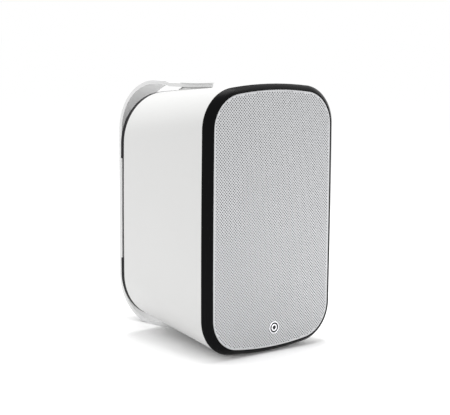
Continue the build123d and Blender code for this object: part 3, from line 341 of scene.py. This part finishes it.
def tracked(name, board, track, cellScale=70.0, trackGap=0.12):
    # printed board: straight-edged tracks under green lacquer
    finish = Finish(name, **{"Coat Weight": 0.4})
    lines = finish.node(
        "ShaderNodeTexVoronoi",
        {"feature": "DISTANCE_TO_EDGE"},
        {"Vector": finish.place, "Scale": cellScale},
    )
    trackMask = lines > trackGap
    return finish.drive(
        Base_Color=finish.colourMix(trackMask, board, track),
        Roughness=0.35 + 0.1 * finish.noise(200.0),
        Normal=finish.bump(trackMask, 0.00004),
    )


def ringed(name, colour, centre, enamel, rings=1500.0):
    # turned metal: fine rings round the badge's middle, crossed by cloudy wear, with a dark enamel
    # band between two radii and a dark dot in the middle
    finish = Finish(name, Metallic=0.9)
    offset = tuple(-part for part in centre)
    centred = finish.node("ShaderNodeMapping", None, {"Vector": finish.place, "Location": offset})
    turned = finish.node(
        "ShaderNodeTexWave",
        {"wave_type": "RINGS", "rings_direction": "Y"},
        {"Vector": centred, "Scale": rings, "Distortion": 0.3},
    )
    cloud = finish.noise(150.0, 2.0)
    metal = finish.colourMix(cloud, shade(colour, 0.9), shade(colour, 1.08))
    away = finish.node("ShaderNodeVectorMath", {"operation": "LENGTH"}, {0: centred}, output=1)
    band = (away > enamel["inner"]) * (enamel["outer"] > away) + (enamel["dot"] > away)
    return finish.drive(
        Base_Color=finish.colourMix(band, metal, enamel["colour"]),
        Roughness=0.3 + 0.15 * (turned - 0.5) + 0.1 * (cloud - 0.5),
        Normal=finish.bump(turned, 0.00002),
    )


badgeLow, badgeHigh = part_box("grille_badge")
badgeCentre = (badgeLow + badgeHigh) / 2
badgeEnamel = {"inner": 0.0042, "outer": 0.0061, "dot": 0.0025, "colour": (0.02, 0.02, 0.022)}

finishes = {
    "shell_white": moulded("shellWhite", (0.565, 0.565, 0.56), 0.38, drift=0.012),
    "bezel_black": moulded(
        "bezelBlack",
        (0.003, 0.003, 0.0033),
        0.3,
        grainDepth=0.00001,
        drift=0.2,
        **{"Specular IOR Level": 0.05},
    ),
    "grille_white": powderCoat("grillePaint", (0.49, 0.495, 0.505), 0.45),
    "grille_cloth": woven("grilleCloth", (0.40, 0.40, 0.405), Alpha=0.55),
    "badge_silver": ringed("badgeSilver", (0.72, 0.72, 0.74), badgeCentre, badgeEnamel),
    "foam_dark": soft("foamDark", (0.05, 0.05, 0.052)),
    "baffle_light": moulded("baffleLight", (0.74, 0.74, 0.73), 0.5),
    "screw_black": brushed("screwBlack", (0.07, 0.07, 0.075), 0.38),
    "screw_steel": brushed("screwSteel", (0.58, 0.58, 0.6), 0.28),
    "frame_black": powderCoat("frameBlack", (0.03, 0.03, 0.032), 0.5),
    "cone_grey": moulded("coneGrey", (0.06, 0.06, 0.066), 0.4, grainScale=500.0, grainDepth=0.0001),
    "roll_rubber": soft("rollRubber", (0.025, 0.025, 0.025), 0.55, 2200.0, 0.00003),
    "dome_silk": woven("domeSilk", (0.05, 0.05, 0.055), 1400.0, 0.00006, 0.5),
    "spider_cloth": woven("spiderCloth", (0.50, 0.36, 0.18), 700.0),
    "coil_copper": wound("coilCopper", (0.72, 0.33, 0.14)),
    "plate_steel": brushed("plateSteel", (0.6, 0.6, 0.58), 0.35),
    "magnet_ferrite": sintered("magnetFerrite", (0.07, 0.07, 0.075)),
    "cover_black": moulded(
        "coverBlack", (0.01, 0.01, 0.011), 0.5, 900.0, 0.00006, 0.15, **{"Specular IOR Level": 0.1}
    ),
    "cup_black": moulded("cupBlack", (0.018, 0.018, 0.02), 0.4, 1200.0, 0.00005, 0.15),
    "contact_brass": brushed("contactBrass", (0.86, 0.66, 0.30), 0.2),
    "cap_red": moulded("capRed", (0.55, 0.015, 0.015), 0.25, 2000.0, 0.00001),
    "cap_black": moulded("capBlack", (0.015, 0.015, 0.015), 0.25, 2000.0, 0.00001),
    "board_green": tracked("boardGreen", (0.10, 0.34, 0.16), (0.03, 0.17, 0.07)),
    "capacitor_body": moulded("capacitorBody", (0.55, 0.36, 0.04), 0.25, 600.0, 0.00002),
    "resistor_white": moulded("resistorWhite", (0.78, 0.76, 0.70), 0.8, 800.0, 0.0002),
    "tab_board": moulded("tabBoard", (0.38, 0.2, 0.09), 0.6, 700.0, 0.0001),
    "lead_jacket": moulded("leadJacket", (0.09, 0.09, 0.10), 0.5, 1500.0, 0.00002),
    "wadding_white": soft("waddingWhite", (0.82, 0.82, 0.8), 0.95, 260.0, 0.0015),
    "bracket_white": powderCoat("bracketWhite", (0.66, 0.662, 0.66), 0.38),
    "knob_white": moulded("knobWhite", (0.52, 0.522, 0.52), 0.38),
    "washer_grey": moulded("washerGrey", (0.5, 0.5, 0.5), 0.5),
    "insert_brass": brushed("insertBrass", (0.8, 0.6, 0.27), 0.3),
}

for nodeName, slotName in slotOf.items():
    materials = nodes[nodeName].data.materials
    materials.clear()
    materials.append(finishes[slotName])
print("finishes on", len(slotOf), "nodes")


# perforated grille
grilleLow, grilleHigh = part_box("grille")
grillePlate = {
    "width": grilleHigh.x - grilleLow.x,
    "height": grilleHigh.z - grilleLow.z,
    "corner": 0.0405,
    "rise": 0.0101,  # of the top's arc across the whole width
    "bow": 0.001,  # of the side's arc across the whole height
    "sheet": 0.0012,
    "lip": grilleHigh.y - grilleLow.y,
    "fold": 0.0008,
    "foldSteps": 5,
    "seam": 0.0004,  # how far the lip's inside runs in under the sheet
    "sides": 6,  # of each hole
    "spacing": 0.0019,  # from row to row; a row's holes are twice as far apart
    "hole": 0.00092,  # from a hole's middle to its corners
    "margin": 0.0023,  # from the outline to the nearest hole's middle
}
grilleMiddle = (grilleLow + grilleHigh) / 2


def placed(flat, depth):
    # points (x, z) about the grille's middle, at a depth behind its face
    back = np.full(len(flat), grilleLow.y + depth)
    return np.stack([flat[:, 0] + grilleMiddle.x, back, flat[:, 1] + grilleMiddle.z], axis=1)


def perforatedSheet(plate):
    # Rows of holes, each row staggered by half the distance between its holes. The sheet's
    # face is triangulated between the outline and the holes, copied to the back, and every edge gets
    # a wall through the thickness.
    outline = archedLoop(plate, plate["fold"])
    rowCount = int(plate["height"] / plate["spacing"] / 2) + 2
    columnCount = int(plate["width"] / plate["spacing"] / 4) + 2
    row, column = np.meshgrid(
        np.arange(-rowCount, rowCount + 1), np.arange(-columnCount, columnCount + 1), indexing="ij"
    )
    centres = plate["spacing"] * np.stack([2 * column + row % 2, row], axis=-1).reshape(-1, 2)
    centres = centres[insideLoop(centres, archedLoop(plate, plate["margin"]))]
    sides = plate["sides"]
    angle = np.radians(360 / sides * (np.arange(sides) + 0.5))
    ring = plate["hole"] * np.stack([np.cos(angle), np.sin(angle)], axis=1)
    holes = (centres[:, None, :] + ring).reshape(-1, 2)
    flat = np.concatenate([outline, holes])
    rim = np.arange(len(outline))
    holeStart = len(outline) + sides * np.arange(len(centres))
    holeIndex = holeStart[:, None] + np.arange(sides)
    edges = np.concatenate(
        [
            np.stack([rim, np.roll(rim, -1)], axis=1),
            np.stack([holeIndex, np.roll(holeIndex, -1, axis=1)], axis=-1).reshape(-1, 2),
        ]
    )
    corners = [Vector(point) for point in flat]
    solved = geometry.delaunay_2d_cdt(corners, edges.tolist(), [], 1, 1e-9)
    face = np.array(solved[2])
    flat = np.array([tuple(point) for point in solved[0]])
    hole = (face - len(outline)) // sides
    bridged = (hole.min(axis=1) < 0) | (hole[:, 0] != hole[:, 1]) | (hole[:, 1] != hole[:, 2])
    face = face[bridged]  # a triangle inside one hole has all its corners on that hole
    # the triangles and edges run anticlockwise as seen from in front
    a, b, c = flat[face[:, 0]], flat[face[:, 1]], flat[face[:, 2]]
    area = (b[:, 0] - a[:, 0]) * (c[:, 1] - a[:, 1]) - (b[:, 1] - a[:, 1]) * (c[:, 0] - a[:, 0])
    face[area < 0] = face[area < 0][:, ::-1]
    pairs = np.concatenate([face[:, [0, 1]], face[:, [1, 2]], face[:, [2, 0]]])
    key = pairs[:, 0].astype(np.int64) * len(flat) + pairs[:, 1]
    mirrored = pairs[:, 1].astype(np.int64) * len(flat) + pairs[:, 0]
    border = pairs[~np.isin(key, mirrored)]
    behind = border + len(flat)
    walls = np.stack([border[:, 1], border[:, 0], behind[:, 0], behind[:, 1]], axis=1)
    points = np.concatenate([placed(flat, 0.0), placed(flat, plate["sheet"])])
    print("grille holes", len(centres), "triangles", 2 * len(face) + 2 * len(walls))
    return points, [face, face[:, ::-1] + len(flat), walls]


def foldedLip(plate):
    # the outline carried round a closed profile: a quarter-round fold, the lip's outside, its back
    # edge and its inside
    quarter = np.linspace(0, np.pi / 2, plate["foldSteps"])
    fold, sheet, lip = plate["fold"], plate["sheet"], plate["lip"]
    insets = np.concatenate([fold * (1 - np.sin(quarter)), [0, sheet, sheet, sheet + plate["seam"]]])
    depths = np.concatenate([fold * (1 - np.cos(quarter)), [lip, lip, sheet, sheet]])
    loops = [placed(archedLoop(plate, inset), depth) for inset, depth in zip(insets, depths)]
    return np.concatenate(loops), gridFaces(len(loops), len(loops[0]), True, True)


sheetPoints, sheetFaces = perforatedSheet(grillePlate)
lipPoints, lipFaces = foldedLip(grillePlate)
perforatedGrille = newPiece(
    "perforatedGrille",
    np.concatenate([sheetPoints, lipPoints]),
    sheetFaces + [lipFaces[:, ::-1] + len(sheetPoints)],
    smoothBelow=40,
)
perforatedGrille.data.materials.append(finishes["grille_white"])
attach(perforatedGrille, "grille")
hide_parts("grille")
print("grille made")


# cloth behind the grille
clothCut = {"inset": 0.0018, "rings": 30, "depth": 0.00165, "thickness": 0.0003}
clothLoop = archedLoop(grillePlate, clothCut["inset"])
# the outline drawn in towards the middle ring by ring, closed by one point there
shares = np.linspace(1, 0, clothCut["rings"], endpoint=False)
clothFlat = np.concatenate([*(clothLoop * share for share in shares), [[0, 0]]])
clothRing = np.arange(len(clothLoop)) + (clothCut["rings"] - 1) * len(clothLoop)
clothTip = np.full(len(clothRing), len(clothFlat) - 1)
clothFan = np.stack([clothRing, np.roll(clothRing, -1), clothTip], axis=1)
clothGrid = gridFaces(clothCut["rings"], len(clothLoop), closedColumns=True)
clothPoints = placed(clothFlat, clothCut["depth"])
stretchedCloth = newPiece(
    "stretchedCloth", clothPoints, [clothGrid[:, ::-1], clothFan], smoothBelow=60
)
solid = stretchedCloth.modifiers.new("thickness", "SOLIDIFY")
solid.thickness = clothCut["thickness"]
solid.offset = -1
stretchedCloth.data.materials.append(finishes["grille_cloth"])
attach(stretchedCloth, "grille")
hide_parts("grille_cloth")
clothX, clothZ = clothLoop[:, 0], clothLoop[:, 1]
clothArea = 0.5 * abs(np.sum(clothX * np.roll(clothZ, -1) - clothZ * np.roll(clothX, -1)))
print("cloth made")


# damping wadding
waddingLow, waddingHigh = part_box("damping_wadding")
wadding = {
    "rows": 90,
    "columns": 140,
    "squareness": 0.35,
    "tufts": 14,
    "tuftHeight": 0.0016,
    "waves": 5,  # larger is finer
    "slack": 0.003,  # kept from the CAD solid's box
}


def waddingLump(lump):
    # A superellipsoid: signed powers of the cosines and sines of two angles, so it is a box with
    # rounded edges. Its surface is pushed in by a sum of waves in random directions.
    up = np.linspace(-np.pi / 2, np.pi / 2, lump["rows"])[:, None]
    around = np.linspace(0, 2 * np.pi, lump["columns"], endpoint=False)[None, :]

    def power(value):
        return np.sign(value) * np.abs(value) ** lump["squareness"]

    unit = np.stack(
        [
            power(np.cos(up)) * power(np.cos(around)),
            power(np.cos(up)) * power(np.sin(around)),
            power(np.sin(up)) * np.ones_like(around),
        ],
        axis=-1,
    ).reshape(-1, 3)
    low, high = np.array(waddingLow) + lump["slack"], np.array(waddingHigh) - lump["slack"]
    low[2] += lump["slack"]
    centre, half = (low + high) / 2, (high - low) / 2
    directions = rng.normal(size=(lump["tufts"], 3))
    phases = rng.uniform(0, 2 * np.pi, lump["tufts"])
    ripple = np.sin(unit @ directions.T * lump["waves"] + phases).mean(axis=1)
    return centre + unit * (half + lump["tuftHeight"] * (ripple[:, None] - 1))


waddingPoints = waddingLump(wadding)
waddingFaces = gridFaces(wadding["rows"], wadding["columns"], closedColumns=True)
waddingPiece = newPiece(
    "waddingPiece", waddingPoints, [waddingFaces[:, ::-1]], smoothBelow=80
)
waddingPiece.data.materials.append(finishes["wadding_white"])
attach(waddingPiece, "cabinet")
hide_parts("damping_wadding")
print("wadding made")


# floor, light and camera
skyStrength = 1.0
floorSize = 60.0
floorDrop = 0.0002  # below the object's feet, so the two don't flicker
floor = newPiece(
    "floor",
    np.array([[-1, -1, 0], [1, -1, 0], [1, 1, 0], [-1, 1, 0]]) * floorSize / 2 - [0, 0, floorDrop],
    [np.array([[0, 1, 2, 3]])],
)
floorFinish = Finish("floorWhite", Roughness=0.7)
floorFinish.shader.inputs["Base Color"].default_value = (1, 1, 1, 1)
floorFinish.shader.inputs["Specular IOR Level"].default_value = 0.0
floor.data.materials.append(floorFinish.material)

world = bpy.data.worlds.new("studio")
bpy.context.scene.world = world
world.use_nodes = True
world.node_tree.nodes["Background"].inputs["Color"].default_value = (1, 1, 1, 1)
world.node_tree.nodes["Background"].inputs["Strength"].default_value = skyStrength
bpy.context.scene.view_settings.view_transform = "Standard"

softboxes = {
    "overhead": {"at": (0.15, 0.1, 1.5), "size": 0.8, "power": 14.0},
    "rearLeft": {"at": (-0.6, 0.6, 0.9), "size": 0.7, "power": 1.4},
    "frontRight": {"at": (0.26, -0.5, 0.02), "size": 0.2, "power": 0.65},
}
target = Vector((0, 0, (cadBox[0].z + cadBox[1].z) / 2))
for name, box in softboxes.items():
    lamp = bpy.data.lights.new(name, "AREA")
    lamp.size = box["size"]
    lamp.energy = box["power"]
    softbox = bpy.data.objects.new(name, lamp)
    softbox.location = box["at"]
    softbox.rotation_euler = (target - Vector(box["at"])).to_track_quat("-Z", "Y").to_euler()
    bpy.context.scene.collection.objects.link(softbox)

shot = {
    "azimuth": -39.189,
    "elevation": 7.952,
    "roll": 0.448,
    "distance": 1.49063,
    "aside": 0.050795,  # how far the aim lies beside and above the middle of the seam
    "above": -0.013378,
    "lens": 101.71,
    "sensor": 36,
}
azimuth, elevation, roll = np.radians([shot["azimuth"], shot["elevation"], shot["roll"]])
level = np.cos(elevation)
backward = np.array([np.sin(azimuth) * level, -np.cos(azimuth) * level, np.sin(elevation)])
rightward = np.array([np.cos(azimuth), np.sin(azimuth), 0])
upward = np.cross(backward, rightward)
spin = np.array([[np.cos(roll), np.sin(roll), 0], [-np.sin(roll), np.cos(roll), 0], [0, 0, 1]])
axes = (spin @ np.stack([rightward, upward, backward])).T
bezelLow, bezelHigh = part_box("front_bezel")
aim = np.array([0, bezelHigh.y, (bezelLow.z + bezelHigh.z) / 2])
cameraData = bpy.data.cameras.new("camera")
cameraData.sensor_width = shot["sensor"]
cameraData.lens = shot["lens"]
camera = bpy.data.objects.new("camera", cameraData)
stand = axes @ np.array([-shot["aside"], -shot["above"], shot["distance"]]) + aim
facing = Matrix([list(row) for row in axes]).to_4x4()
camera.matrix_world = Matrix.Translation(Vector(stand)) @ facing
bpy.context.scene.collection.objects.link(camera)
bpy.context.scene.camera = camera
print("stage set")
